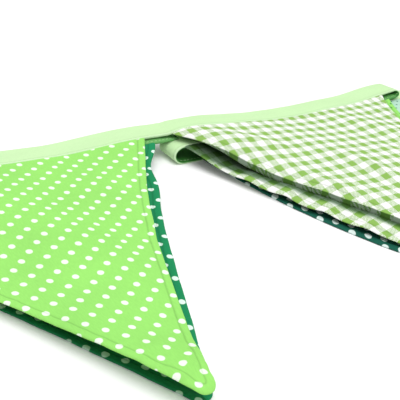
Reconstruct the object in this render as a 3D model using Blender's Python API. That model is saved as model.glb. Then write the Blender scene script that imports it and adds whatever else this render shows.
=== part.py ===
"""Fabric bunting, put down in two heaps on a table: triangular pennants hanging from one long folded tape.

Metres, +Z up. X runs along the tape, the pennants point towards -Y, and the part rests on z = 0. The tape
zigzags: it passes over the right-hand heap, then over the left-hand one, turns back under it and ends in
the right-hand heap. The origin is the middle of the underside of the box around the whole bunting.
"""

import math

import bmesh
import bpy
from mathutils import Vector

# Driving dimensions
PENNANT_WIDTH = 0.206
PENNANT_DEPTH = 0.200  # to the sharp corner that the rounded tip leaves out
TIP_RADIUS = 0.006
TAPE_WIDTH = 0.0162
CLOTH_THICKNESS = 0.0012
PIECE_GAP = 0.0003

# Mesh fineness
COLUMNS = 12
STRAIGHT_ROWS = 13
TIP_ROWS = 3
TAPE_STEP = 0.011
TURN_STEPS = 9

# The right-hand heap lifts over soft ridges, each with its middle, the way it runs, half sizes and height.
FOLD_COLUMNS = ("x", "y", "heading", "half_length", "half_breadth", "height")
RIGHT_FOLDS = (
    (0.038, -0.024, -55, 0.032, 0.015, 0.0052),
    (0.052, 0.000, -62, 0.050, 0.021, 0.0030),
    (0.098, -0.050, -66, 0.055, 0.013, 0.0016),
    (0.130, -0.075, -60, 0.070, 0.014, 0.0022),
    (0.180, -0.060, -70, 0.060, 0.018, 0.0014),
    (0.243, 0.004, -40, 0.050, 0.026, 0.0040),
)
LEFT_FOLDS = (
    (-0.160, -0.030, -50, 0.060, 0.026, 0.0018),
    (-0.100, -0.060, -75, 0.080, 0.024, 0.0032),
    (-0.048, -0.050, -70, 0.060, 0.014, 0.0014),
    (-0.128, -0.120, -40, 0.040, 0.016, 0.0016),
    (-0.109, -0.168, -60, 0.038, 0.016, 0.0048),
)

# How high each stretch of tape lies, and how much of the right-hand ridges it follows
LAYER_COLUMNS = ("base", "fold_share")
LAYERS = {
    "top": (0.0115, 1.00),
    "second": (0.0082, 0.90),
    "third": (0.0056, 0.75),
    "fourth": (0.0030, 0.50),
    "bottom": (0.0, 0.0),
}
LEFT_TOP_BASE = 0.0052
LEFT_TOP_LIFT_SHARE = 0.70
JOIN_START, JOIN_LENGTH = -0.001, 0.026
CORNER_LIFT = 0.0098
LOOP_LIFT = 0.0046

# The line under the left side of the upper gingham pennant, where it droops and the gingham below rises
SIDE_START, SIDE_END = (0.017, -0.006), (0.0705, -0.106)
SIDE_DROOP, SIDE_RIDGE = 0.0022, 0.0026

# The middle line of the tape along each stretch, as (x, y) points from left to right
COURSES = {
    "top": (
        (-0.216, 0.0087),
        (-0.045, 0.0087),
        (0.000, 0.0045),
        (0.022, 0.0022),
        (0.120, 0.0024),
        (0.225, 0.0109),
        (0.2385, 0.0122),
    ),
    "second": ((0.034, 0.0020), (0.130, 0.0010), (0.2385, 0.0088)),
    "third": ((0.034, 0.0040), (0.150, 0.0040), (0.268, 0.0118)),
    "fourth": ((0.0205, -0.0082), (0.120, -0.0060), (0.268, 0.0080)),
    "bottom": ((0.0205, -0.0112), (0.120, -0.0085), (0.250, 0.0000)),
    "tail": ((-0.216, 0.0126), (-0.075, 0.0126), (0.005, 0.0005), (0.022, 0.0008)),
}

# Half turns between stretches: how far the tape bulges past their ends
TURN_BULGE = {"left end": 0.005, "top to second": 0.006, "hidden": 0.004, "right end": 0.005, "loop": 0.0075}

# Each pennant: stretch, left corner, how far its tip swings, and how far its left and right sides bow out
PENNANT_COLUMNS = ("name", "stretch", "left", "swing", "left_bow", "right_bow")
PENNANTS = (
    ("pennant_lime_dots", "top", -0.207, 0.002, -0.006, -0.006),
    ("pennant_gingham_top", "top", 0.017, 0.000, -0.002, -0.009),
    ("pennant_lime_dark_dots", "second", 0.024, 0.012, -0.004, -0.004),
    ("pennant_teal_leaves", "third", 0.048, 0.004, 0.000, 0.000),
    ("pennant_gingham_under", "fourth", 0.020, -0.0156, 0.0053, 0),
    ("pennant_green_under", "bottom", 0.034, -0.028, 0.016, 0),
    ("pennant_green_left", "tail", -0.2015, 0, -0.003, 0),
)

COLOURS = {
    "pennant_lime_dots": (0.38, 0.92, 0.17),
    "pennant_gingham_top": (0.62, 0.78, 0.42),
    "pennant_lime_dark_dots": (0.38, 0.92, 0.17),
    "pennant_teal_leaves": (0.34, 0.70, 0.56),
    "pennant_gingham_under": (0.62, 0.78, 0.42),
    "pennant_green_under": (0.01, 0.34, 0.13),
    "pennant_green_left": (0.01, 0.34, 0.13),
    "tape": (0.68, 0.98, 0.52),
}


def eased(t):
    """0 to 1 with level ends."""
    t = min(max(t, 0.0), 1.0)
    return t * t * (3 - 2 * t)


def blend(a, b, t):
    return a + (b - a) * t


def folds(ridges, x, y):
    """Height of the soft ridges above a flat lie."""
    total = 0.0
    for row in ridges:
        ridge = dict(zip(FOLD_COLUMNS, row))
        heading = math.radians(ridge["heading"])
        dx, dy = x - ridge["x"], y - ridge["y"]
        along = dx * math.cos(heading) + dy * math.sin(heading)
        across = dy * math.cos(heading) - dx * math.sin(heading)
        reach = (along / ridge["half_length"]) ** 2 + (across / ridge["half_breadth"]) ** 2
        total += ridge["height"] * math.exp(-reach)
    return total


def corner_lift(x, y):
    """The left-hand heap rises to its right corner, where its tapes climb over the loop."""
    return CORNER_LIFT * eased((x + 0.060) / 0.070) * eased((y + 0.100) / 0.095)


def loop_lift(x, y):
    """The fourth layer stays up near the loop that it comes out of."""
    return LOOP_LIFT * (1 - eased((x - 0.021) / 0.036)) * eased((y + 0.052) / 0.036)


def inside_side(x, y):
    """Distance to the right of the line under the upper gingham's left side."""
    (x0, y0), (x1, y1) = SIDE_START, SIDE_END
    return ((x - x0) * (y0 - y1) + (y - y0) * (x1 - x0)) / math.hypot(x1 - x0, y1 - y0)


def side_share(y):
    """How far the side is clear of the tape: 0 beside it, 1 from 70 mm down."""
    return eased((-0.030 - y) / 0.040)


def underside(stretch, x, y):
    """Height of the underside of a stretch's cloth at a place."""
    if stretch == "tail":
        return corner_lift(x, y)
    layer = dict(zip(LAYER_COLUMNS, LAYERS[stretch]))
    height = layer["base"] + layer["fold_share"] * folds(RIGHT_FOLDS, x, y)
    if stretch == "fourth":
        height += loop_lift(x, y)
        height += SIDE_RIDGE * side_share(y) * math.exp(-((inside_side(x, y) / 0.009) ** 2))
    if stretch == "top":
        left = LEFT_TOP_BASE + LEFT_TOP_LIFT_SHARE * corner_lift(x, y) + folds(LEFT_FOLDS, x, y)
        height -= SIDE_DROOP * side_share(y) * (1 - eased(inside_side(x, y) / 0.014))
        height = blend(left, height, eased((x - JOIN_START) / JOIN_LENGTH))
    return height


def course_y(stretch, x):
    """The tape's middle line: a smooth curve through the points of its table."""
    points = COURSES[stretch]
    last = len(points) - 1
    slopes = []
    for i in range(last + 1):
        (x0, y0), (x1, y1) = points[max(i - 1, 0)], points[min(i + 1, last)]
        slopes.append((y1 - y0) / (x1 - x0))
    i = 0
    while i < last - 1 and x > points[i + 1][0]:
        i += 1
    (x0, y0), (x1, y1) = points[i], points[i + 1]
    span = x1 - x0
    t = min(max((x - x0) / span, 0.0), 1.0)
    start = (1 + 2 * t) * (1 - t) ** 2 * y0 + t * (1 - t) ** 2 * span * slopes[i]
    end = t * t * (3 - 2 * t) * y1 + t * t * (t - 1) * span * slopes[i + 1]
    return start + end


def pennant_rows():
    """(depth, half width) of each row of a pennant: straight sides down to a rounded tip."""
    half_angle = math.atan2(PENNANT_WIDTH / 2, PENNANT_DEPTH)
    centre = PENNANT_DEPTH - TIP_RADIUS / math.sin(half_angle)
    touch = centre + TIP_RADIUS * math.sin(half_angle)
    rows = []
    for i in range(STRAIGHT_ROWS + 1):
        depth = touch * i / STRAIGHT_ROWS
        rows.append((depth, PENNANT_WIDTH / 2 * (1 - depth / PENNANT_DEPTH)))
    last_angle = math.radians(72)
    for i in range(1, TIP_ROWS + 1):
        angle = blend(half_angle, last_angle, i / TIP_ROWS)
        rows.append((centre + TIP_RADIUS * math.sin(angle), TIP_RADIUS * math.cos(angle)))
    return rows


def pennant_place(pennant, depth, half_width, side):
    """Where a point of the flat pennant lies. side runs from -1 at its left edge to 1 at its right."""
    down = depth / PENNANT_DEPTH
    bow = pennant["right_bow"] if side > 0 else -pennant["left_bow"]
    x = pennant["left"] + PENNANT_WIDTH / 2 + side * half_width
    x += pennant["swing"] * down + abs(side) * bow * math.sin(math.pi * down)
    middle = pennant["left"] + PENNANT_WIDTH / 2
    top = blend(course_y(pennant["stretch"], x), course_y(pennant["stretch"], middle), eased(down * 2))
    y = top - TAPE_WIDTH / 2 - PIECE_GAP - depth
    return Vector((x, y, underside(pennant["stretch"], x, y)))


def finished_object(name, bm):
    bmesh.ops.recalc_face_normals(bm, faces=bm.faces)
    mesh = bpy.data.meshes.new(name)
    bm.to_mesh(mesh)
    bm.free()
    mesh.shade_smooth()
    mesh.set_sharp_from_angle(angle=math.radians(40))
    material = bpy.data.materials.new(name)
    material.use_nodes = True
    shader = material.node_tree.nodes["Principled BSDF"]
    shader.inputs["Base Color"].default_value = (*COLOURS[name], 1)
    shader.inputs["Roughness"].default_value = 0.9
    shader.inputs["Metallic"].default_value = 0.0
    mesh.materials.append(material)
    obj = bpy.data.objects.new(name, mesh)
    bpy.context.scene.collection.objects.link(obj)
    return obj


def build_pennant(pennant):
    """A sheet, thickened straight up so that a layer keeps its clearance from the next."""
    rows = pennant_rows()
    bm = bmesh.new()
    bmesh.ops.create_grid(bm, x_segments=COLUMNS, y_segments=len(rows) - 1, size=1)
    for vert in bm.verts:
        row = round((1 - vert.co.y) / 2 * (len(rows) - 1))
        depth, half_width = rows[row]
        vert.co = pennant_place(pennant, depth, half_width, vert.co.x)
    raised = bmesh.ops.extrude_face_region(bm, geom=bm.faces[:], use_keep_orig=True)
    top = [item for item in raised["geom"] if isinstance(item, bmesh.types.BMVert)]
    bmesh.ops.translate(bm, verts=top, vec=(0, 0, CLOTH_THICKNESS))
    return finished_object(pennant["name"], bm)


def stretch_rows(stretch, rightwards):
    """Pairs of points, front edge and back edge, along one stretch of the tape's mid-surface."""
    points = COURSES[stretch]
    x0, x1 = points[0][0], points[-1][0]
    steps = math.ceil((x1 - x0) / TAPE_STEP)
    rows = []
    for i in range(steps + 1):
        x = blend(x0, x1, i / steps)
        row = []
        for offset in (-TAPE_WIDTH / 2, TAPE_WIDTH / 2):
            y = course_y(stretch, x) + offset
            row.append(Vector((x, y, underside(stretch, x, y) + CLOTH_THICKNESS / 2)))
        rows.append(row)
    return rows if rightwards else rows[::-1]


def turn_rows(before, after, bulge):
    """A half turn from the end of one stretch to the start of the next, which runs the other way."""
    rows = []
    for i in range(1, TURN_STEPS):
        t = i / TURN_STEPS
        row = []
        for side in (0, 1):
            start, end = before[-1][side], after[0][side]
            way_out = (start - before[-2][side]).normalized()
            way_back = (after[1][side] - end).normalized()
            pull = 4 * bulge
            row.append(
                start * (1 + 2 * t) * (1 - t) ** 2
                + way_out * pull * t * (1 - t) ** 2
                + end * t * t * (3 - 2 * t)
                + way_back * pull * t * t * (t - 1)
            )
        rows.append(row)
    return rows


def tape_rows():
    """The whole tape, from its tail in the right-hand heap to its end on the table."""
    route = (
        ("tail", False, "left end"),
        ("top", True, "top to second"),
        ("second", False, "hidden"),
        ("third", True, "right end"),
        ("fourth", False, "loop"),
        ("bottom", True, None),
    )
    stretches = [stretch_rows(name, rightwards) for name, rightwards, _ in route]
    rows = []
    for i, (_, _, turn) in enumerate(route):
        rows += stretches[i]
        if turn:
            rows += turn_rows(stretches[i], stretches[i + 1], TURN_BULGE[turn])
    return rows


def build_tape():
    rows = tape_rows()
    bm = bmesh.new()
    bmesh.ops.create_grid(bm, x_segments=len(rows) - 1, y_segments=1, size=1)
    for vert in bm.verts:
        row = round((vert.co.x + 1) / 2 * (len(rows) - 1))
        vert.co = rows[row][1 if vert.co.y > 0 else 0]
    tape = finished_object("tape", bm)
    wall = tape.modifiers.new("Thickness", "SOLIDIFY")
    wall.thickness = CLOTH_THICKNESS
    wall.offset = 0
    return tape


def centre_on_origin(objects):
    """Puts the origin under the middle of the whole bunting's box."""
    bpy.context.view_layer.update()
    graph = bpy.context.evaluated_depsgraph_get()
    corners = []
    for obj in objects:
        mesh = obj.evaluated_get(graph).to_mesh()
        corners += [vert.co.copy() for vert in mesh.vertices]
        obj.evaluated_get(graph).to_mesh_clear()
    lowest = [min(corner[i] for corner in corners) for i in range(3)]
    highest = [max(corner[i] for corner in corners) for i in range(3)]
    shift = Vector((-(lowest[0] + highest[0]) / 2, -(lowest[1] + highest[1]) / 2, 0))
    for obj in objects:
        for vert in obj.data.vertices:
            vert.co += shift
    print("box", [high - low for low, high in zip(lowest, highest)], "shift", list(shift))


def main():
    for obj in list(bpy.data.objects):
        bpy.data.objects.remove(obj, do_unlink=True)
    pennants = [build_pennant(dict(zip(PENNANT_COLUMNS, row))) for row in PENNANTS]
    centre_on_origin([*pennants, build_tape()])


main()
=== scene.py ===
# %% [markdown]
# # Fabric bunting put down in two heaps
#
# Seven sewn cotton pennants hang from one folded tape, and the string lies on a table in a zigzag: two
# pennants in the left-hand heap, five in the right-hand one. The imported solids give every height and
# clearance. Here each plain sheet gets its finished cloth: turned edges, seams, creases and prints.

import math

import bmesh
import bpy
from mathutils import Matrix, Vector, noise


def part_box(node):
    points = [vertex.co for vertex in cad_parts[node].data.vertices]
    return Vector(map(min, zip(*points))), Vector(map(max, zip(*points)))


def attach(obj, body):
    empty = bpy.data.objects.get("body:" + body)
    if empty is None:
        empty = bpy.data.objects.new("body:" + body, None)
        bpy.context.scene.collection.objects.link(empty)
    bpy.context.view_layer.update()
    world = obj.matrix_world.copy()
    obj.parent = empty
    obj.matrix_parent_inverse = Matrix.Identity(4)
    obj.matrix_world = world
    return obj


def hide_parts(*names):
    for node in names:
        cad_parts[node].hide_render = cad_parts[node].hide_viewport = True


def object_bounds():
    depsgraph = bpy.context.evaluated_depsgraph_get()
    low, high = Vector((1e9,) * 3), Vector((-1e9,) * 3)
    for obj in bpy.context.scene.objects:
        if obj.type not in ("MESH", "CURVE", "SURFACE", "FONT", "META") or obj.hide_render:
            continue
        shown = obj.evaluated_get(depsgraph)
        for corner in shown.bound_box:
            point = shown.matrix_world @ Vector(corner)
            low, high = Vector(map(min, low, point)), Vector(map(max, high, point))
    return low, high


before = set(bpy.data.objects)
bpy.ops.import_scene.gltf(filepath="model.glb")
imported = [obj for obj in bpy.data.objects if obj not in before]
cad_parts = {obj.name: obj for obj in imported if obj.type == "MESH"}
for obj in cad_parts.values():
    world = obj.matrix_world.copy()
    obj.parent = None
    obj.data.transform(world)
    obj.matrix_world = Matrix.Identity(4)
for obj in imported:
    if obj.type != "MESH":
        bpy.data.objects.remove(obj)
cad_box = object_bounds()
print("nodes:", sorted(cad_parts))

# %% [markdown]
# ## The lie of the heap
#
# Cloth in a heap follows the cloth below it. One way to get that is a cloth simulation, but a simulated heap
# never lands twice in the same way, and the solids already say where each layer lies. So the same soft ridges
# that lift the solids are written out again, in metres, and every finished sheet takes its height from them.

# %% Sizes shared with the solids
PENNANT_WIDTH = 0.206
PENNANT_DEPTH = 0.200
TIP_RADIUS = 0.006
TAPE_WIDTH = 0.0162
PIECE_GAP = 0.0003

RIGHT_FOLDS = (  # x and y of the middle, heading in degrees, half length, half breadth, height
    (0.038, -0.024, -55, 0.032, 0.015, 0.0052),
    (0.052, 0.000, -62, 0.050, 0.021, 0.0030),
    (0.098, -0.050, -66, 0.055, 0.013, 0.0016),
    (0.130, -0.075, -60, 0.070, 0.014, 0.0022),
    (0.180, -0.060, -70, 0.060, 0.018, 0.0014),
    (0.243, 0.004, -40, 0.050, 0.026, 0.0040),
)
LEFT_FOLDS = (  # the same columns
    (-0.160, -0.030, -50, 0.060, 0.026, 0.0018),
    (-0.100, -0.060, -75, 0.080, 0.024, 0.0032),
    (-0.048, -0.050, -70, 0.060, 0.014, 0.0014),
    (-0.128, -0.120, -40, 0.040, 0.016, 0.0016),
    (-0.109, -0.168, -60, 0.038, 0.016, 0.0048),
)

LAYERS = {  # height of the layer, and its share of the right-hand ridges
    "top": (0.0115, 1.00),
    "second": (0.0082, 0.90),
    "third": (0.0056, 0.75),
    "fourth": (0.0030, 0.50),
    "bottom": (0.0, 0.0),
}
LEFT_TOP_BASE = 0.0052
LEFT_TOP_LIFT_SHARE = 0.70
JOIN_START, JOIN_LENGTH = -0.001, 0.026
CORNER_LIFT = 0.0098
LOOP_LIFT = 0.0046
SIDE_START, SIDE_END = (0.017, -0.006), (0.0705, -0.106)
SIDE_DROOP, SIDE_RIDGE = 0.0022, 0.0026
SIDE_DROOP_BREADTH, SIDE_RIDGE_BREADTH = 0.014, 0.009

COURSES = {  # the tape's middle line, left to right
    "top": (
        (-0.216, 0.0087),
        (-0.045, 0.0087),
        (0.000, 0.0045),
        (0.022, 0.0022),
        (0.120, 0.0024),
        (0.225, 0.0109),
        (0.2385, 0.0122),
    ),
    "second": ((0.034, 0.0020), (0.130, 0.0010), (0.2385, 0.0088)),
    "third": ((0.034, 0.0040), (0.150, 0.0040), (0.268, 0.0118)),
    "fourth": ((0.0205, -0.0082), (0.120, -0.0060), (0.268, 0.0080)),
    "bottom": ((0.0205, -0.0112), (0.120, -0.0085), (0.250, 0.0000)),
    "tail": ((-0.216, 0.0126), (-0.075, 0.0126), (0.005, 0.0005), (0.022, 0.0008)),
}
TURN_BULGE = {
    "left end": 0.005,
    "top to second": 0.006,
    "hidden": 0.004,
    "right end": 0.005,
    "loop": 0.0075,
}


# %% Where a layer of cloth lies
def eased(t):
    """0 to 1 with level ends."""
    t = min(max(t, 0.0), 1.0)
    return t * t * (3 - 2 * t)


def mixed(a, b, t):
    return a + (b - a) * t


def folds(ridges, x, y):
    """Height of the soft ridges above a flat lie."""
    total = 0.0
    for rx, ry, heading, half_length, half_breadth, height in ridges:
        c, s = math.cos(math.radians(heading)), math.sin(math.radians(heading))
        along = ((x - rx) * c + (y - ry) * s) / half_length
        across = ((y - ry) * c - (x - rx) * s) / half_breadth
        total += height * math.exp(-along * along - across * across)
    return total


def corner_lift(x, y):
    return CORNER_LIFT * eased((x + 0.060) / 0.070) * eased((y + 0.100) / 0.095)


def loop_lift(x, y):
    return LOOP_LIFT * (1 - eased((x - 0.021) / 0.036)) * eased((y + 0.052) / 0.036)


def inside_side(x, y):
    """Distance to the right of the line under the upper gingham's left side."""
    (x0, y0), (x1, y1) = SIDE_START, SIDE_END
    return ((x - x0) * (y0 - y1) + (y - y0) * (x1 - x0)) / math.hypot(x1 - x0, y1 - y0)


def side_share(y):
    """How far the side is clear of the tape: 0 beside it, 1 from 70 mm down."""
    return eased((-0.030 - y) / 0.040)


def underside(stretch, x, y):
    """Height of the lower face of a stretch's solid."""
    if stretch == "tail":
        return corner_lift(x, y)
    base, share = LAYERS[stretch]
    height = base + share * folds(RIGHT_FOLDS, x, y)
    if stretch == "fourth":
        height += loop_lift(x, y)
        height += SIDE_RIDGE * side_share(y) * math.exp(-((inside_side(x, y) / SIDE_RIDGE_BREADTH) ** 2))
    if stretch == "top":
        left = LEFT_TOP_BASE + LEFT_TOP_LIFT_SHARE * corner_lift(x, y) + folds(LEFT_FOLDS, x, y)
        height -= SIDE_DROOP * side_share(y) * (1 - eased(inside_side(x, y) / SIDE_DROOP_BREADTH))
        height = mixed(left, height, eased((x - JOIN_START) / JOIN_LENGTH))
    return height


def course_y(stretch, x):
    """The tape's middle line: a smooth curve through the points of its table."""
    points = COURSES[stretch]
    last = len(points) - 1
    i = 0
    while i < last - 1 and x > points[i + 1][0]:
        i += 1
    ends = []
    for j in (i, i + 1):
        (xa, ya), (xb, yb) = points[max(j - 1, 0)], points[min(j + 1, last)]
        ends.append((yb - ya) / (xb - xa))
    (x0, y0), (x1, y1) = points[i], points[i + 1]
    span = x1 - x0
    t = min(max((x - x0) / span, 0.0), 1.0)
    start = (1 + 2 * t) * (1 - t) ** 2 * y0 + t * (1 - t) ** 2 * span * ends[0]
    return start + t * t * (3 - 2 * t) * y1 + t * t * (t - 1) * span * ends[1]


# %% [markdown]
# ## The pennants
#
# A maker cuts two triangles, sews them face to face along two sides and turns them through, so the sides are
# soft rolls with a faint trough where the seam allowance ends. The top stays open and is caught in the tape.
# A Solidify modifier gives one even thickness with sharp sides. Here a grid is extruded once, and both skins
# are moved by a profile of the distance from the edge, which makes the roll and the trough in one go.

# %% Table of pennants
PENNANT_COLUMNS = ("name", "stretch", "left", "swing", "left_bow", "right_bow")
PENNANTS = [
    dict(zip(PENNANT_COLUMNS, row))
    for row in (
        ("lime_dots", "top", -0.207, 0.002, -0.006, -0.006),
        ("gingham_top", "top", 0.017, 0.000, -0.002, -0.009),
        ("lime_dark_dots", "second", 0.024, 0.012, -0.004, -0.004),
        ("teal_leaves", "third", 0.048, 0.004, 0.000, 0.000),
        ("gingham_under", "fourth", 0.020, -0.0156, 0.0053, 0.000),
        ("green_under", "bottom", 0.034, -0.028, 0.016, 0.000),
        ("green_left", "tail", -0.2015, 0.000, -0.003, 0.000),
    )
]
HALF_ANGLE = math.atan2(PENNANT_WIDTH / 2, PENNANT_DEPTH)
TIP_CENTRE = PENNANT_DEPTH - TIP_RADIUS / math.sin(HALF_ANGLE)
TIP_TOUCH = TIP_CENTRE + TIP_RADIUS * math.sin(HALF_ANGLE)


def half_width(depth):
    """Half the flat pennant's width at a depth: straight sides, then the rounded tip."""
    if depth < TIP_TOUCH:
        return PENNANT_WIDTH / 2 * min(1 - depth / PENNANT_DEPTH, 1)
    return math.sqrt(max(TIP_RADIUS**2 - (depth - TIP_CENTRE) ** 2, 0))


def pennant_xy(pennant, depth, across):
    """Plan of a point of the flat pennant. across is its distance right of the middle."""
    down = max(depth, 0) / PENNANT_DEPTH
    width = max(half_width(depth), 1e-6)
    side = across / width
    bow = pennant["right_bow"] if side > 0 else -pennant["left_bow"]
    middle = pennant["left"] + PENNANT_WIDTH / 2
    x = middle + across + pennant["swing"] * down + abs(side) * bow * math.sin(math.pi * down)
    top = mixed(course_y(pennant["stretch"], x), course_y(pennant["stretch"], middle), eased(down * 2))
    return x, top - TAPE_WIDTH / 2 - PIECE_GAP - depth


# %% Move from the tables' origin to the frame's
COARSE_COLUMNS = 12
by_name = {pennant["name"]: pennant for pennant in PENNANTS}
top_row = [
    pennant_xy(by_name["green_under"], 0, PENNANT_WIDTH * (i / COARSE_COLUMNS - 0.5))[1]
    for i in range(COARSE_COLUMNS + 1)
]
SHIFT = Vector((
    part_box("pennant_lime_dots")[0].x - by_name["lime_dots"]["left"],
    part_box("pennant_green_under")[1].y - max(top_row),
    0,
))
print("shift to the frame:", [round(value, 5) for value in SHIFT])

# %% [markdown]
# ### Creases of each cloth
#
# Cotton that has been folded away keeps small creases of its own besides the ridges of the heap. They are
# rows of a table again: where each one's middle is, which way it runs, how long and wide it is, and how high,
# with a minus for a trough. Natural unevenness is a little smooth noise, always the same from run to run.

# %% Own creases
CREASES = {
    "lime_dots": (
        (-0.150, -0.052, -30, 0.030, 0.012, 0.0009),
        (-0.124, -0.028, 15, 0.040, 0.010, -0.0008),
        (-0.080, -0.095, -72, 0.040, 0.010, 0.0010),
        (-0.060, -0.030, -20, 0.030, 0.012, 0.0008),
        (-0.105, -0.150, 20, 0.018, 0.006, -0.0010),
        (-0.100, -0.176, 35, 0.016, 0.005, 0.0016),
        (-0.096, -0.186, 5, 0.010, 0.004, 0.0012),
    ),
    "gingham_top": (
        (0.0645, -0.0345, -44, 0.018, 0.0060, 0.0024),
        (0.0705, -0.0915, -66, 0.020, 0.0060, 0.0020),
        (0.1150, -0.0860, -78, 0.022, 0.0060, 0.0024),
        (0.104, -0.042, -38, 0.030, 0.009, -0.0010),
        (0.150, -0.070, -60, 0.034, 0.009, 0.0016),
        (0.170, -0.034, -48, 0.034, 0.011, 0.0014),
        (0.195, -0.010, -55, 0.030, 0.009, 0.0010),
    ),
    "gingham_under": (
        (0.038, -0.056, 20, 0.014, 0.0055, 0.0010),
        (0.045, -0.080, 25, 0.014, 0.0055, 0.0012),
        (0.055, -0.102, 18, 0.014, 0.0060, 0.0013),
        (0.066, -0.124, 22, 0.014, 0.0060, 0.0012),
    ),
}


FREE_RIPPLE, PRESSED_RIPPLE = 0.00042, 0.00012
TIP_CRUMPLE = 0.0011


def own_lie(name, x, y, depth):
    """Creases and unevenness of one pennant, besides the ridges of its heap."""
    height = folds(CREASES.get(name, ()), x, y)
    seed = sum(map(ord, name))
    ripple = noise.noise(Vector((x * 60, y * 60, seed)))
    ripple += 0.4 * noise.noise(Vector((x * 170, y * 170, seed)))
    height += (FREE_RIPPLE if name in ("lime_dots", "gingham_top") else PRESSED_RIPPLE) * ripple
    if name == "lime_dots":
        crumple = eased((depth - 0.150) / 0.035)
        height += crumple * TIP_CRUMPLE * noise.noise(Vector((x * 210, y * 150, 3)))
    return height


# %% Profile of a turned edge
SHEET_HALF = 0.00052
ROLL = 0.0012
TROUGH_AT, TROUGH_HALF_BREADTH, TROUGH_DEPTH = 0.0042, 0.00055, 0.00030
SEAM_SWELL = 0.00013
SIDE_ROLL = 0.0034
PUCKER_HEIGHT, PUCKER_PITCH, PUCKER_AT = 0.00013, 0.0078, 0.0030


def edge_profile(distance):
    """Half the cloth's thickness at a distance from its turned edge."""
    swell = SEAM_SWELL * (1 - eased((distance - TROUGH_AT) / 0.001))
    height = SHEET_HALF + swell
    height -= TROUGH_DEPTH * math.exp(-(((distance - TROUGH_AT) / TROUGH_HALF_BREADTH) ** 2))
    t = min(distance / ROLL, 1)
    return height * max(math.sqrt(1 - (1 - t) ** 2), 0.16)


def side_roll(name, distance, depth, right, skin):
    """Extra depth of the upper gingham's left side, where its padded seam allowance hangs below the edge."""
    if name != "gingham_top" or skin > 0 or right > 0:
        return 0
    along = eased((depth - 0.012) / 0.030)
    return SIDE_ROLL * along * eased(distance / 0.0009) * (1 - eased((distance - 0.0022) / 0.003))


def pucker(distance, depth, side, seed):
    """Small gathers that a row of stitches draws into the cloth beside it."""
    reach = math.exp(-(((distance - PUCKER_AT) / PUCKER_AT) ** 2))
    wander = noise.noise(Vector((depth * 45, side * 9, seed)))
    return PUCKER_HEIGHT * reach * math.sin(depth * 2 * math.pi / PUCKER_PITCH + 5 * wander)


# %% Build one pennant
EDGE_STEPS = (0, 0.00022, 0.00055, 0.0010, 0.0017, 0.0026, 0.0034, 0.0039, 0.0043, 0.0048, 0.0058)
MIDDLE_STEPS = 74
ROW_STEP = 0.0019
TIP_STEPS = 12
LAP = 0.0020
LIE = 0.00066
TAPE_HALF = 0.00092


def settled_shade(pennant, x, y, distance, right, skin):
    """Painted shade, multiplied into the colour: 1 in the open, less under the upper gingham and in the
    crevice along its side, towards the lower gingham's top, on the upper gingham's underside that shows at
    its rolled side, and on the left half of the emerald pennant under the lime one.
    """
    name = pennant["name"]
    if name == "gingham_top" and skin < 0:
        return mixed(0.42, 0.62, eased((distance - 0.0003) / 0.0008))
    if name == "gingham_under":
        crevice = eased((inside_side(x, y) + 0.0062) / 0.004)
        return 1 - 0.78 * crevice - 0.15 * (1 - crevice) * eased((y + 0.055) / 0.035)
    if name == "green_left" and right < 0:
        return 0.62
    return 1.0


def pennant_depths():
    straight = math.ceil((TIP_TOUCH + LAP) / ROW_STEP)
    depths = [mixed(-LAP, TIP_TOUCH, i / straight) for i in range(straight + 1)]
    for i in range(1, TIP_STEPS + 1):
        angle = mixed(HALF_ANGLE, math.radians(86), i / TIP_STEPS)
        depths.append(TIP_CENTRE + TIP_RADIUS * math.sin(angle))
    return depths


def pennant_columns(width):
    """Distances right of the middle: close together at the rolls, even between them."""
    scale = min(1, width / (2 * EDGE_STEPS[-1]))
    edge = [step * scale for step in EDGE_STEPS]
    inner = width - edge[-1]
    middle = [mixed(-inner, inner, i / MIDDLE_STEPS) for i in range(1, MIDDLE_STEPS)]
    return [step - width for step in edge] + middle + [width - step for step in reversed(edge)]


def edge_distance(depth, across):
    if depth < TIP_TOUCH:
        return (half_width(depth) - abs(across)) * math.cos(HALF_ANGLE)
    return max(TIP_RADIUS - math.hypot(across, depth - TIP_CENTRE), 0)


def lying_point(pennant, depth, across):
    """Where the middle of a finished pennant's cloth lies."""
    x, y = pennant_xy(pennant, depth, across)
    name = pennant["name"]
    x += 0.0004 * noise.noise(Vector((depth * 70, math.copysign(3, across), sum(map(ord, name)))))
    if name == "green_left" and across > 0:
        x -= 0.0050 * across / half_width(depth) * math.exp(-(((depth - 0.022) / 0.014) ** 2))
    on_table = pennant["stretch"] == "bottom" or (pennant["stretch"] == "tail" and x < -0.06)
    z = underside(pennant["stretch"], x, y) + LIE
    if not on_table:
        z += max(own_lie(name, x, y, depth), -0.0003) * eased(depth / 0.012)
    z += (TAPE_HALF - LIE) * (1 - eased(depth / 0.006))
    return Vector((x, y, z)) + SHIFT


def cloth_object(name, bm):
    bmesh.ops.recalc_face_normals(bm, faces=bm.faces)
    mesh = bpy.data.meshes.new(name)
    bm.to_mesh(mesh)
    bm.free()
    mesh.shade_smooth()
    obj = bpy.data.objects.new(name, mesh)
    bpy.context.scene.collection.objects.link(obj)
    return obj


def two_skins(bm, columns, rows):
    """A grid extruded once: the column, the row and the skin, -1 or 1, of every vertex."""
    bmesh.ops.create_grid(bm, x_segments=columns, y_segments=rows, size=1)
    lower = list(bm.verts)
    made = bmesh.ops.extrude_face_region(bm, geom=bm.faces[:], use_keep_orig=True)
    upper = [item for item in made["geom"] if isinstance(item, bmesh.types.BMVert)]
    places = {}
    for skin, verts in ((-1, lower), (1, upper)):
        for vert in verts:
            column = round((vert.co.x + 1) / 2 * columns)
            places[vert] = (column, round((vert.co.y + 1) / 2 * rows), skin)
    return places


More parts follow.
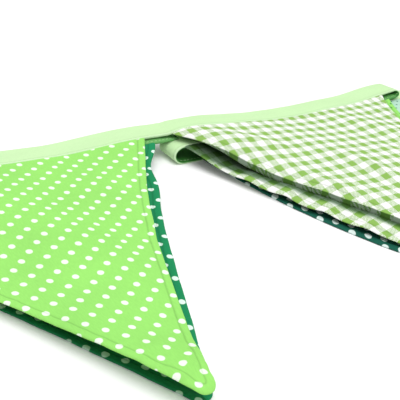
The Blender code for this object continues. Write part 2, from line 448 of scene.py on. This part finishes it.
def sew_pennant(pennant):
    depths = pennant_depths()
    rows = [pennant_columns(half_width(depth)) for depth in depths]
    down, across = len(depths) - 1, len(rows[0]) - 1
    bm = bmesh.new()
    cloth, edge = bm.loops.layers.uv.new("cloth"), bm.verts.layers.float.new("edge")
    shade = bm.verts.layers.float.new("shade")
    places = two_skins(bm, across, down)
    lie = [[lying_point(pennant, depths[j], right) for right in rows[j]] for j in range(down + 1)]
    middle = pennant["left"] + PENNANT_WIDTH / 2
    seed = sum(map(ord, pennant["name"]))
    for vert, (i, row, skin) in places.items():
        j = down - row
        depth, right = depths[j], rows[j][i]
        distance = edge_distance(depth, right)
        rise = skin * edge_profile(distance) + (pucker(distance, depth, right, seed) if skin > 0 else 0)
        rise -= side_roll(pennant["name"], distance, depth, right, skin)
        vert.co = lie[j][i] + Vector((0, 0, rise))
        vert[edge] = distance
        x, y, _ = lie[j][i] - SHIFT
        vert[shade] = settled_shade(pennant, x, y, distance, right, skin)
        for loop in vert.link_loops:
            loop[cloth].uv = (pennant_xy(pennant, depth, right)[0] - middle, -depth)
    return cloth_object("cloth_" + pennant["name"], bm)


pieces = {pennant["name"]: sew_pennant(pennant) for pennant in PENNANTS}
for name, piece in pieces.items():
    top = max(vert.co.z for vert in piece.data.vertices)
    print(name, len(piece.data.polygons), "faces, top at", round(top, 4))

# %% [markdown]
# ## The tape
#
# The tape is a strip folded in half over the pennants' tops and sewn near its open edge. A curve with a flat
# bevel would twist at the turns, so the tape is a long grid again: each row of it is a ruler laid across the
# tape, and a half turn blends the rulers at the ends of two stretches along a smooth curve.

# %% Rulers across the tape
TAPE_STEP = 0.0022
TURN_STEPS = 22
ROUTE = (
    ("tail", False, "left end"),
    ("top", True, "top to second"),
    ("second", False, "hidden"),
    ("third", True, "right end"),
    ("fourth", False, "loop"),
    ("bottom", True, None),
)
TAPE_WANDER, TAPE_RIPPLE = 0.00025, 0.0003
JOIN_CREASE = ((0.0205, 0.0125), (0.0150, -0.0075), 0.0011, -0.00055)


def crease_depth(x, y):
    """The soft diagonal crease where the upper stretch climbs from one heap to the other."""
    (x0, y0), (x1, y1), half_breadth, height = JOIN_CREASE
    length = math.hypot(x1 - x0, y1 - y0)
    across = ((x - x0) * (y1 - y0) - (y - y0) * (x1 - x0)) / length
    return height * math.exp(-((across / half_breadth) ** 2))


def tape_middle(stretch, x, y):
    z = underside(stretch, x, y) + TAPE_HALF
    if stretch == "top":
        z += crease_depth(x, y)
        z += TAPE_RIPPLE * noise.noise(Vector((x * 55, y * 90, 5)))
    return Vector((x, y, z)) + SHIFT


def stretch_rulers(stretch, rightwards):
    """Pairs of points, front edge and back edge, along one stretch of the tape's middle."""
    x0, x1 = COURSES[stretch][0][0], COURSES[stretch][-1][0]
    steps = math.ceil((x1 - x0) / TAPE_STEP)
    rulers = []
    for i in range(steps + 1):
        x = mixed(x0, x1, i / steps)
        y = course_y(stretch, x)
        wander = TAPE_WANDER * noise.noise(Vector((x * 40, 7, y)))
        ends = (y - TAPE_WIDTH / 2 + wander, y + TAPE_WIDTH / 2 + wander)
        rulers.append([tape_middle(stretch, x, end) for end in ends])
    return rulers if rightwards else rulers[::-1]


def turn_rulers(before, after, bulge):
    rulers = []
    for i in range(1, TURN_STEPS):
        t = i / TURN_STEPS
        ruler = []
        for end in (0, 1):
            p, q = before[-1][end], after[0][end]
            out, back = (p - before[-2][end]).normalized(), (after[1][end] - q).normalized()
            held = p * (1 + 2 * t) * (1 - t) ** 2 + q * t * t * (3 - 2 * t)
            ruler.append(held + (out * t * (1 - t) ** 2 + back * t * t * (t - 1)) * 4 * bulge)
        rulers.append(ruler)
    return rulers


laid = [stretch_rulers(name, rightwards) for name, rightwards, _ in ROUTE]
rulers, stations = [], []
for i, (name, _, turn) in enumerate(ROUTE):
    rulers += laid[i]
    stations += [(name, None)] * len(laid[i])
    if turn:
        rulers += turn_rulers(laid[i], laid[i + 1], TURN_BULGE[turn])
        stations += [(name, turn)] * (TURN_STEPS - 1)
travel = [0.0]
for before, after in zip(rulers, rulers[1:]):
    travel.append(travel[-1] + (sum(after, Vector()) - sum(before, Vector())).length / 2)
TAPE_LENGTH = travel[-1]
print("tape:", len(rulers), "rulers,", round(TAPE_LENGTH, 3), "m long")

# %% Profile across the tape
TAPE_LANES = (
    *(0, 0.00018, 0.0005, 0.0009, 0.0013, 0.0016, 0.0019, 0.0023, 0.0030),
    *(0.0050, 0.0075, 0.0100, 0.0125, 0.0143, 0.0152, 0.0157, 0.0160, TAPE_WIDTH),
)
STITCH_LINE = 0.0017


def tape_profile(front):
    """Half the tape's thickness at a distance from its sewn front edge."""
    back = TAPE_WIDTH - front
    height = TAPE_HALF - 0.00016 * math.exp(-(((front - STITCH_LINE) / 0.0006) ** 2))
    height -= 0.00022 * eased((front - 0.003) / 0.006)
    lip, fold = min(front / 0.0007, 1), min(back / 0.0009, 1)
    return height * max(math.sqrt(1 - (1 - lip) ** 2), 0.2) * max(math.sqrt(1 - (1 - fold) ** 2), 0.12)


def ruler_frame(i):
    """Front end, step across per metre of width, direction out and direction along, at one ruler."""
    front, back = rulers[i]
    last = len(rulers) - 1
    ahead, behind = rulers[min(i + 1, last)], rulers[max(i - 1, 0)]
    across = (back - front).normalized()
    along = (sum(ahead, Vector()) - sum(behind, Vector())).normalized()
    out = along.cross(across).normalized()
    return front, (back - front) / TAPE_WIDTH, out, along


INSIDE_SHADE = {"left end": 0.35, "loop": 0.17}
COVERED_SHADE = 0.25


def tape_shade(i, skin):
    """Painted shade, multiplied into the tape's colour: darker inside each turn, on the covered stretches and
    where the tail lies under the join.
    """
    stretch, turn = stations[i]
    if turn:
        inside = 1 if turn in ("hidden", "loop") else -1
        return INSIDE_SHADE.get(turn, COVERED_SHADE) if skin == inside else 1.0
    x = (rulers[i][0] - SHIFT).x
    if stretch == "tail":
        return mixed(1.0, 0.50, eased((x + 0.030) / 0.030))
    if stretch in ("fourth", "bottom") and skin > 0:
        return COVERED_SHADE
    if stretch == "second":
        return 0.4
    return 1.0


def fold_tape():
    frames = [ruler_frame(i) for i in range(len(rulers))]
    long_way, lanes = len(rulers) - 1, len(TAPE_LANES) - 1
    bm = bmesh.new()
    cloth, shade = bm.loops.layers.uv.new("cloth"), bm.verts.layers.float.new("shade")
    for vert, (i, lane, skin) in two_skins(bm, long_way, lanes).items():
        front, across, out, _ = frames[i]
        vert.co = front + across * TAPE_LANES[lane] + out * skin * tape_profile(TAPE_LANES[lane])
        vert[shade] = tape_shade(i, skin)
        for loop in vert.link_loops:
            loop[cloth].uv = (travel[i], TAPE_LANES[lane])
    return cloth_object("tape_folded", bm)


tape = fold_tape()
print("tape faces:", len(tape.data.polygons))

# %% [markdown]
# ### Stitches
#
# A row of machine stitches runs along the open edge, on both faces. Each stitch is a short six-sided rod that
# dives at its ends. There are well over a thousand, so each has only a few faces, and all are one piece.

# %% Sew the tape
STITCH_PITCH, STITCH_LENGTH, THREAD_RADIUS = 0.0027, 0.0021, 0.00017
STITCH_SINK = 0.00004


def one_stitch():
    """A rod along Z with two small tapered ends."""
    bm = bmesh.new()
    bmesh.ops.create_cone(
        bm,
        cap_ends=True,
        segments=6,
        radius1=THREAD_RADIUS,
        radius2=THREAD_RADIUS,
        depth=STITCH_LENGTH * 0.6,
    )
    for cap in [face for face in bm.faces if len(face.verts) == 6]:
        side = 1 if cap.calc_center_median().z > 0 else -1
        tip = bmesh.ops.extrude_discrete_faces(bm, faces=[cap])["faces"][0]
        bmesh.ops.translate(bm, verts=tip.verts, vec=(-0.00012, 0, side * STITCH_LENGTH * 0.2))
        shrink_about = Matrix.Translation(-tip.calc_center_median())
        bmesh.ops.scale(bm, verts=tip.verts, vec=(0.45, 0.45, 0.45), space=shrink_about)
    mesh = bpy.data.meshes.new("one_stitch")
    bm.to_mesh(mesh)
    bm.free()
    return mesh


def sew_row(bm, stitch, skin):
    i = 0
    for k in range(1, int(TAPE_LENGTH / STITCH_PITCH)):
        at = k * STITCH_PITCH
        while travel[i + 1] < at:
            i += 1
        front, across, out, along = ruler_frame(i)
        step = (at - travel[i]) / (travel[i + 1] - travel[i])
        centre = front.lerp(rulers[i + 1][0], step) + across * STITCH_LINE
        away = out * skin
        centre += away * (tape_profile(STITCH_LINE) - STITCH_SINK)
        turn = Matrix((away, along.cross(away), along)).transposed().to_4x4()
        place = Matrix.Translation(centre) @ turn
        stitch.transform(place)
        bm.from_mesh(stitch)
        stitch.transform(place.inverted())


# %% [markdown]
# ## Shader maths
#
# Every print here is worked out from the cloth's own flat coordinates, in metres, so a dot keeps its place
# when the cloth bends. Written as Math nodes such sums are hard to read, so a small class wraps a socket and
# lets Python's operators add the nodes.


# %% Values that add their own nodes
class Value:
    """One output of a finish's node tree."""

    def __init__(self, finish, socket):
        self.finish, self.socket = finish, socket

    def maths(self, operation, *others):
        return self.finish.add("ShaderNodeMath", {"operation": operation}, dict(enumerate((self, *others))))

    def __add__(self, other):
        return self.maths("ADD", other)

    def __sub__(self, other):
        return self.maths("SUBTRACT", other)

    def __rsub__(self, other):
        return self.finish.add("ShaderNodeMath", {"operation": "SUBTRACT"}, {0: other, 1: self})

    def __mul__(self, other):
        return self.maths("MULTIPLY", other)

    def __truediv__(self, other):
        return self.maths("DIVIDE", other)

    __radd__, __rmul__ = __add__, __mul__


class Finish:
    """A cloth finish: one material and the nodes that make it."""

    def __init__(self, name, roughness):
        self.material = bpy.data.materials.new(name)
        self.material.use_nodes = True
        self.nodes, self.links = self.material.node_tree.nodes, self.material.node_tree.links
        self.shader = self.nodes["Principled BSDF"]
        self.shader.inputs["Roughness"].default_value = roughness
        self.shader.inputs["Specular IOR Level"].default_value = 0.25
        flat = self.add("ShaderNodeUVMap", {"uv_map": "cloth"}, {})
        self.u, self.v = self.parts(flat)

    def add(self, kind, settings, inputs, output=0):
        """Adds a node: its settings first, then values or links into its inputs."""
        node = self.nodes.new(kind)
        for key, value in settings.items():
            setattr(node, key, value)
        for key, value in inputs.items():
            if isinstance(value, Value):
                self.links.new(value.socket, node.inputs[key])
            else:
                node.inputs[key].default_value = value
        return Value(self, node.outputs[output])

    def parts(self, vector):
        split = self.add("ShaderNodeSeparateXYZ", {}, {0: vector})
        return split, Value(self, split.socket.node.outputs[1])

    def point(self, x, y, z=0.0):
        return self.add("ShaderNodeCombineXYZ", {}, {0: x, 1: y, 2: z})

    def grain(self, scale, detail=2.0, stretch=(1, 1), lift=0.0):
        """Smooth noise from 0 to 1 over the flat cloth, with features of about 1/scale metres."""
        place = self.point(self.u * (scale * stretch[0]), self.v * (scale * stretch[1]), lift)
        return self.add("ShaderNodeTexNoise", {}, {"Vector": place, "Scale": 1.0, "Detail": detail})

    def soft_step(self, value, start, end):
        """0 before start, 1 after end; start may be past end."""
        return self.add(
            "ShaderNodeMapRange",
            {"interpolation_type": "SMOOTHSTEP"},
            {"Value": value, "From Min": start, "From Max": end},
        )

    def mix(self, factor, a, b):
        def colour(value):
            return value if isinstance(value, Value) else (*value, 1)

        settings = {"data_type": "RGBA", "clamp_factor": True}
        return self.add("ShaderNodeMix", settings, {0: factor, 6: colour(a), 7: colour(b)}, output=2)

    def tinted(self, colour, light):
        settings = {"data_type": "RGBA", "blend_type": "MULTIPLY"}
        return self.add("ShaderNodeMix", settings, {0: 1.0, 6: colour, 7: light}, output=2)

    def shade(self, colour, factor):
        """The colour times a grey value."""
        return self.tinted(colour, self.point(factor, factor, factor))

    def finish_with(self, colour, height, depth, painted_shade_tint=1.3):
        """Links the colour, times the painted shade held in the shade attribute (red and blue fall faster, so
        deep painted shade turns greener), and a bump of the given depth in metres.
        """
        left = self.add("ShaderNodeAttribute", {"attribute_name": "shade"}, {}, output=2)
        red_blue = left.maths("POWER", painted_shade_tint)
        colour = self.tinted(colour, self.point(red_blue, left, red_blue))
        self.links.new(colour.socket, self.shader.inputs["Base Color"])
        bump = self.add("ShaderNodeBump", {}, {"Strength": 1.0, "Distance": depth, "Height": height})
        self.links.new(bump.socket, self.shader.inputs["Normal"])
        return self.material


# %% [markdown]
# ### Weave, dots and checks
#
# Plain-weave cotton shows warp and weft threads crossing, about twenty to the centimetre. A cosine along
# each way gives that bump. Dots sit on a lattice turned on the cloth, and the distance to its nearest point
# makes a round spot. Gingham is real weaving, so the finish picks warp or weft thread by thread.

# %% Pattern helpers
THREAD = 0.00052
FULL_TURN = 2 * math.pi


def weave(f, thread=THREAD):
    """Height of the threads, 0 to 1."""
    across = (f.u * (FULL_TURN / thread)).maths("COSINE")
    along = (f.v * (FULL_TURN / thread)).maths("COSINE")
    return across * along * 0.25 + 0.5 + f.grain(900, 1.0) * 0.5


def lattice(f, spacing, turn, start):
    """(column, row) coordinates on a lattice turned by an angle, with one point at start."""
    c, s = math.cos(turn), math.sin(turn)
    u, v = f.u - start[0], f.v - start[1]
    return (u * c + v * s) / spacing[0], (v * c - u * s) / spacing[1]


def off_centre(value):
    """Distance past the nearest whole number, -0.5 to 0.5."""
    return (value + 0.5).maths("FRACT") - 0.5


def spots(f, spacing, turn, start, diameter, soft=0.00022, squeeze=1.0):
    """1 inside round spots printed on a lattice, with edges that wander a little."""
    column, row = lattice(f, spacing, turn, start)
    across, along = off_centre(column) * spacing[0], off_centre(row) * (spacing[1] * squeeze)
    reach = (across * across + along * along).maths("SQRT")
    reach = reach + (f.grain(420, 2.0) - 0.5) * 0.0006
    return f.soft_step(reach, diameter / 2 + soft, diameter / 2 - soft)


def stripes(f, value, soft=0.03):
    """1 on half of each repeat of value, 0 on the other half."""
    return f.soft_step(off_centre(value).maths("ABSOLUTE"), 0.25 + soft, 0.25 - soft)


def uneven_with_trough_shade(f, colour, seed, mottle=0.07):
    """Gentle unevenness of dye, threads and handling, and painted shade in the trough beside the seams."""
    cloudy = (f.grain(34, 3.0, lift=seed) - 0.5) * (2 * mottle)
    threads = (f.grain(1500, 1.0, stretch=(1, 0.25), lift=seed) - 0.5) * 0.16
    distance = f.add("ShaderNodeAttribute", {"attribute_name": "edge"}, {}, output=2)
    past = (distance - TROUGH_AT) / 0.0005
    trough_shade = (past * past * -1).maths("EXPONENT") * 0.22
    return f.shade(colour, cloudy + threads + 1.0 - trough_shade)


# %% Cotton with printed dots
LIME = (0.285, 0.680, 0.138)
EMERALD = (0.006, 0.235, 0.085)
# The bottom pennant's emerald cotton, darkened as painted shade; its white dots (SHADED_WHITE) are greyed as
# painted shade the same way.
SHADED_EMERALD_GROUND = (0.004, 0.095, 0.060)
SPOT_GREEN = (0.01, 0.13, 0.05)
DOT_WHITE = (0.80, 0.90, 0.76)
COOL_WHITE = (0.75, 0.92, 0.82)
SHADED_WHITE = (0.66, 0.78, 0.74)
PIN_DOT, DARK_SPOT, EMERALD_DOT, BOTTOM_PENNANT_DOT = 0.0031, 0.0015, 0.0033, 0.0060


def pin_dots(name, ground, spacing, turn, start, diameter, ink, mottle, squeeze=1.0):
    f = Finish(name, roughness=0.88)
    print_mask = spots(f, spacing, turn, start, diameter, squeeze=squeeze)
    colour = uneven_with_trough_shade(f, f.mix(print_mask * 0.96, ground, ink), len(name), mottle)
    return f.finish_with(colour, weave(f) + print_mask * 0.25, 0.00006)


# %% Woven gingham
GINGHAM_GREEN = (0.240, 0.440, 0.090)
GINGHAM_WHITE = (0.83, 0.84, 0.81)
CHECK_REPEAT = 0.0099


def gingham(name, turn, start):
    f = Finish(name, roughness=0.9)
    column, row = lattice(f, (CHECK_REPEAT, CHECK_REPEAT), turn, start)
    warp, weft = stripes(f, column), stripes(f, row)
    across, along = column * (CHECK_REPEAT / THREAD), row * (CHECK_REPEAT / THREAD)
    crossing = (across.maths("FLOOR") + along.maths("FLOOR")) * 0.5
    warp_on_top = f.soft_step(crossing.maths("FRACT"), 0.1, 0.4)
    colour = f.mix(
        warp_on_top,
        f.mix(weft, GINGHAM_WHITE, GINGHAM_GREEN),
        f.mix(warp, GINGHAM_WHITE, GINGHAM_GREEN),
    )
    return f.finish_with(uneven_with_trough_shade(f, colour, 2.0, 0.05), weave(f), 0.00008)


# %% Teal leaves
TEAL_GROUND = (0.30, 0.58, 0.44)
TEAL_LEAF = (0.012, 0.140, 0.095)
TEAL_MID = (0.09, 0.36, 0.27)
TEAL_PALE = (0.52, 0.70, 0.58)
LEAF_REPEAT, LEAF_DOT = 0.012, 0.0014


def leaf_print(name):
    """A plain small leaf repeat: slim leaves on two turned lattices, with dots between them."""
    f = Finish(name, roughness=0.88)
    colour = f.mix(f.grain(150, 2.0), TEAL_GROUND, TEAL_PALE)
    for turn, start, ink in ((0.6, (0.001, 0.002), TEAL_LEAF), (2.2, (0.006, 0.004), TEAL_MID)):
        column, row = lattice(f, (LEAF_REPEAT, LEAF_REPEAT), turn, start)
        across, along = off_centre(column) * 3.4, off_centre(row) * 1.25
        pointed = along.maths("ABSOLUTE") * 1.2 + (across * across + along * along).maths("SQRT")
        colour = f.mix(f.soft_step(pointed, 0.52, 0.46), colour, ink)
    dots = spots(f, (LEAF_REPEAT / 2, LEAF_REPEAT / 2), 0.6, (0.004, 0.005), LEAF_DOT, 0.00012)
    return f.finish_with(uneven_with_trough_shade(f, f.mix(dots, colour, TEAL_LEAF), 4.0), weave(f), 0.00006)


# %% Mint tape
MINT = (0.520, 0.745, 0.405)
MINT_RIM = (0.62, 0.80, 0.54)
MINT_THREAD = (0.49, 0.71, 0.38)
TAPE_THREAD = 0.0004


def tape_cloth(name):
    """Mint cotton, paler on its sewn rim, with painted shade in the groove along the stitches. v is the
    distance from the rim.
    """
    f = Finish(name, roughness=0.82)
    rim = f.soft_step(f.v, 0.0016, 0.0003) * 0.5
    past = (f.v - STITCH_LINE) / 0.0006
    trough_shade = (past * past * -1).maths("EXPONENT") * 0.08
    cloudy = (f.grain(60, 2.0, stretch=(0.5, 2)) - 0.5) * 0.10
    base = f.mix(rim, MINT, MINT_RIM)
    fibres = (f.grain(1400, 1.0, stretch=(0.3, 1)) - 0.5) * 0.10
    colour = f.shade(base, cloudy + fibres + 1.0 - trough_shade)
    return f.finish_with(colour, weave(f, TAPE_THREAD), 0.00004, painted_shade_tint=2.0)


def thread_finish(name, colour):
    """Sewing thread with a faint unevenness, so it needs no cloth coordinates."""
    f = Finish(name, roughness=0.7)
    place = f.add("ShaderNodeTexCoord", {}, {}, output=3)
    fibres = f.add("ShaderNodeTexNoise", {}, {"Vector": place, "Scale": 2600.0, "Detail": 1.0})
    dark, light = (tuple(part * tone for part in colour) for tone in (0.90, 1.06))
    f.links.new(f.mix(fibres, dark, light).socket, f.shader.inputs["Base Color"])
    return f.material


# %% Dress every piece
pin_lime = pin_dots(
    "lime_pin_dots", LIME, (0.0084, 0.0077), -0.93, (0.0067, -0.0044), PIN_DOT, DOT_WHITE, 0.10
)
dark_spot_lime = pin_dots(
    "lime_dark_spots", LIME, (0.0062, 0.0062), 0.72, (0.002, 0.001), DARK_SPOT, SPOT_GREEN, 0.05
)
pin_green = pin_dots(
    "emerald_pin_dots", EMERALD, (0.0082, 0.0082), 0.62, (0.0, 0.002), EMERALD_DOT, COOL_WHITE, 0.06
)
# The bottom pennant: emerald cotton with white dots, both darkened as painted shade.
shaded_bottom_dots = pin_dots(
    "deep_green_dots", SHADED_EMERALD_GROUND, (0.0088, 0.0088), 0.80, (0.0, 0.002), BOTTOM_PENNANT_DOT, SHADED_WHITE, 0.06, 1.5
)
checks_top = gingham("gingham_checks", -0.0701, (-0.0067, -0.0603))
checks_under = gingham("gingham_checks_under", 0.05, (0.001, 0.002))
leaves = leaf_print("teal_leaf_print")
finishes = {
    "lime_dots": (pin_lime, "lime_cotton"),
    "gingham_top": (checks_top, "gingham_cotton"),
    "lime_dark_dots": (dark_spot_lime, "lime_cotton"),
    "teal_leaves": (leaves, "teal_cotton"),
    "gingham_under": (checks_under, "gingham_cotton"),
    "green_under": (shaded_bottom_dots, "green_cotton"),
    "green_left": (pin_green, "green_cotton"),
}
for name, piece in pieces.items():
    finish, slot = finishes[name]
    piece.data.materials.append(finish)
    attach(piece, "root")
    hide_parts("pennant_" + name)
tape.data.materials.append(tape_cloth("mint_tape"))
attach(tape, "root")
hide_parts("tape")
print("dressed", len(pieces) + 1, "pieces")

# %% Stitches along the tape
thread, stitch = bmesh.new(), one_stitch()
for skin in (1, -1):
    sew_row(thread, stitch, skin)
stitches = cloth_object("tape_stitches", thread)
stitches.data.materials.append(thread_finish("mint_thread", MINT_THREAD))
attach(stitches, "root")
print("stitch faces:", len(stitches.data.polygons))

# %% [markdown]
# ## Floor, light and camera
#
# A white table top under even, bright light keeps the shadows short and soft. A very large lamp overhead
# gives the cloth its faint direction, and a white world, brightest above, fills the rest.

# %% Floor
floor_mesh = bpy.data.meshes.new("floor")
floor_bm = bmesh.new()
bmesh.ops.create_grid(floor_bm, x_segments=1, y_segments=1, size=6)
floor_bm.to_mesh(floor_mesh)
floor_bm.free()
floor = bpy.data.objects.new("floor", floor_mesh)
bpy.context.scene.collection.objects.link(floor)
floor.location.z = cad_box[0].z
white = bpy.data.materials.new("floor_white")
white.use_nodes = True
for key, value in {
    "Base Color": (0.88, 0.88, 0.88, 1),
    "Roughness": 1.0,
    "Specular IOR Level": 0.0,
    "Emission Color": (1, 1, 1, 1),
    "Emission Strength": 0.04,
}.items():
    white.node_tree.nodes["Principled BSDF"].inputs[key].default_value = value
floor_mesh.materials.append(white)

# %% Light
world = bpy.data.worlds.new("studio")
bpy.context.scene.world = world
world.use_nodes = True
sky = world.node_tree.nodes
towards = sky.new("ShaderNodeSeparateXYZ")
from_above = sky.new("ShaderNodeMapRange")
for key, value in {"From Min": 0.0, "From Max": 0.9, "To Min": 0.30, "To Max": 1.12}.items():
    from_above.inputs[key].default_value = value
world.node_tree.links.new(sky.new("ShaderNodeTexCoord").outputs["Generated"], towards.inputs[0])
world.node_tree.links.new(towards.outputs["Z"], from_above.inputs["Value"])
world.node_tree.links.new(from_above.outputs[0], sky["Background"].inputs["Strength"])
sky["Background"].inputs["Color"].default_value = (1, 1, 1, 1)
bpy.context.scene.view_settings.view_transform = "Standard"

LAMP_PLACE, LAMP_SIZE, LAMP_POWER = Vector((-0.1, -0.1, 1.6)), 1.6, 14
lamp_data = bpy.data.lights.new("ceiling", "AREA")
lamp_data.shape, lamp_data.size, lamp_data.energy = "DISK", LAMP_SIZE, LAMP_POWER
lamp = bpy.data.objects.new("ceiling", lamp_data)
lamp.location = LAMP_PLACE
lamp.rotation_euler = (-LAMP_PLACE).to_track_quat("-Z", "Y").to_euler()
bpy.context.scene.collection.objects.link(lamp)

# %% Camera
AIM = Vector((0.00032, -0.05860, 0.0)) + SHIFT
EYE = Vector((-0.27611, -0.35046, 0.20697)) + SHIFT
ROLL_ANGLE = 0.1920
LENS = 73.974
camera_data = bpy.data.cameras.new("camera")
camera_data.lens = LENS
camera_data.clip_start = 0.01
camera = bpy.data.objects.new("camera", camera_data)
level = (AIM - EYE).to_track_quat("-Z", "Y").to_matrix().to_4x4()
camera.matrix_world = Matrix.Translation(EYE) @ level @ Matrix.Rotation(ROLL_ANGLE, 4, "Z")
bpy.context.scene.collection.objects.link(camera)
bpy.context.scene.camera = camera
